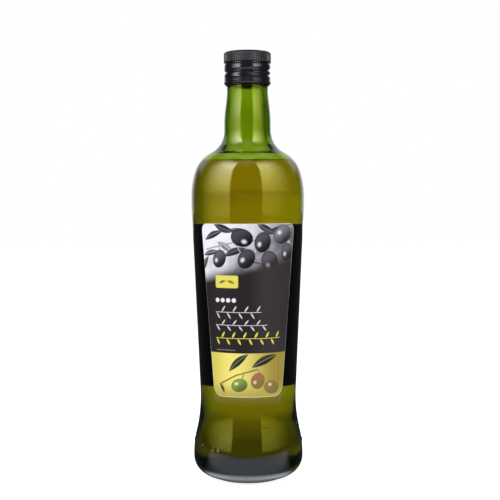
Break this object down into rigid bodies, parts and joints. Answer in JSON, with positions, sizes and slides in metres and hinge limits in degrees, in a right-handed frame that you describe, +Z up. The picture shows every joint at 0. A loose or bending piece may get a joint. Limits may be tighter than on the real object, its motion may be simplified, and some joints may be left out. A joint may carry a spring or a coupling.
{
  "type": "olive oil bottle",
  "caption": "Tall round green glass bottle of olive oil, narrowed at the waist, with a paper label front and back and a black screw cap.",
  "frame": {"origin": "bottom centre of the glass, in the plane of its bearing ring", "axes": "+Z up along the bottle's axis, front label towards -Y"},
  "size_m": [0.078, 0.0782, 0.295],
  "materials": {
    "glass": "polished olive-green bottle glass",
    "oil": "clear yellow-green olive oil",
    "cap": "satin black lacquered aluminium",
    "front_paper": "printed semi-gloss label paper, charcoal, grey and yellow",
    "back_paper": "printed semi-gloss label paper, charcoal with yellow"
  },
  "bodies": {
    "root": {"bottle": "glass", "oil": "oil", "cap": "cap", "tamper_band": "cap", "front_label": "front_paper", "back_label": "back_paper"}
  },
  "joints": []
}
